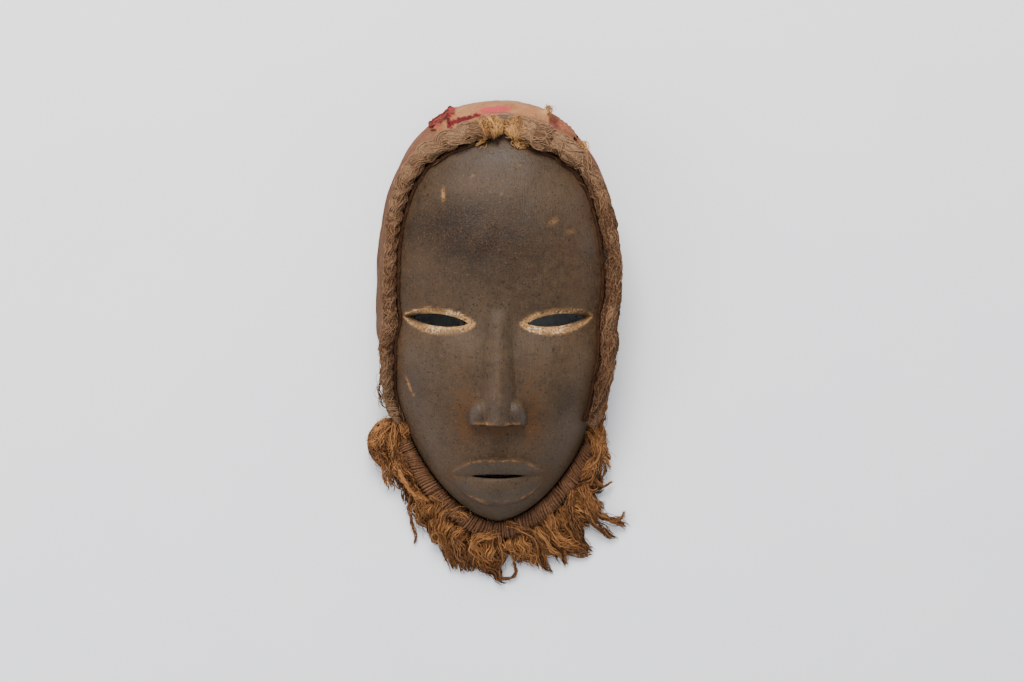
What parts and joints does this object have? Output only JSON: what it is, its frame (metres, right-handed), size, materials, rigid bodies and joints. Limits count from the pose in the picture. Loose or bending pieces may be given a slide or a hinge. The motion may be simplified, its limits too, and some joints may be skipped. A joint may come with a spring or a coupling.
{
  "type": "carved wooden face mask",
  "caption": "Hollow carved wooden face mask with slit eyes, a cloth band and fibre plaits round the rim, and a corded jaw roll with a fibre beard.",
  "frame": {"origin": "on the surface the mask lies on, under the middle of its bounding box", "axes": "+Y towards the crown, +Z out of the face, +X to the right of the face as seen from the front"},
  "size_m": [0.1478, 0.2828, 0.0683],
  "materials": {
    "carved_wood": "dark worn patina, satin",
    "stained_cotton": "red cotton, stained brown",
    "crown_cotton": "faded tan and crimson cotton, torn",
    "plait_fibre": "plaited brown plant fibre, matt",
    "straw_fibre": "straw-coloured plant fibre, matt",
    "winding_cord": "fine brown cord, matt",
    "beard_fibre": "orange-brown plant fibre, matt"
  },
  "bodies": {
    "root": {"face_wood": "carved_wood", "cloth_band": "stained_cotton", "crown_patch": "crown_cotton", "plait_left": "plait_fibre", "plait_right": "plait_fibre", "crown_tie_left": "straw_fibre", "crown_tie_right": "straw_fibre", "jaw_roll": "winding_cord", "knot_left": "beard_fibre", "knot_right": "beard_fibre", "tuft_01": "beard_fibre", "tuft_02": "beard_fibre", "tuft_03": "beard_fibre", "tuft_04": "beard_fibre", "tuft_05": "beard_fibre", "tuft_06": "beard_fibre", "tuft_07": "beard_fibre", "tuft_08": "beard_fibre", "tuft_09": "beard_fibre", "tuft_10": "beard_fibre", "tuft_11": "beard_fibre", "tuft_12": "beard_fibre", "tuft_13": "beard_fibre", "tuft_14": "beard_fibre"}
  },
  "joints": []
}
